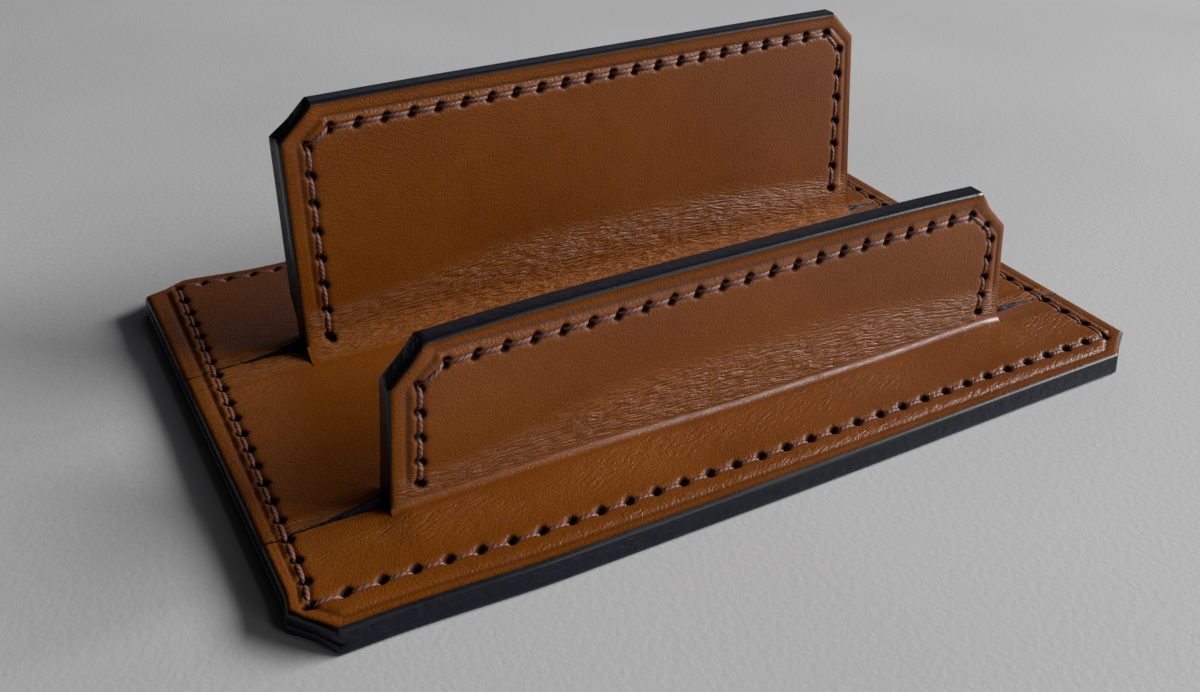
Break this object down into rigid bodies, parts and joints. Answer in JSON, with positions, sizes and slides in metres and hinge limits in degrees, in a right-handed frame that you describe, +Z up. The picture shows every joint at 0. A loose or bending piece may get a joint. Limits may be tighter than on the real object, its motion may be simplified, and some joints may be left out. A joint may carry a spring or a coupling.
{
  "type": "business card holder",
  "caption": "Stitched leather desk stand with a low front wall and a taller rear wall that hold a stack of business cards upright between them.",
  "frame": {"origin": "middle of the underside, on the surface that the holder stands on", "axes": "+X along the front edge, +Y towards the taller rear wall, +Z up"},
  "size_m": [0.117, 0.0784, 0.0379],
  "materials": {
    "tan_leather": "vegetable tanned, dyed tan brown, semi gloss, cut edges painted black",
    "panel_leather": "brown leather, satin, cut edges painted black",
    "waxed_thread": "waxed twisted dark brown thread"
  },
  "bodies": {
    "root": {"rear_facing": "tan_leather", "middle_facing": "tan_leather", "front_facing": "tan_leather", "base_panel": "panel_leather", "rear_upright_thread": "waxed_thread", "front_upright_thread": "waxed_thread", "base_thread": "waxed_thread"}
  },
  "joints": []
}
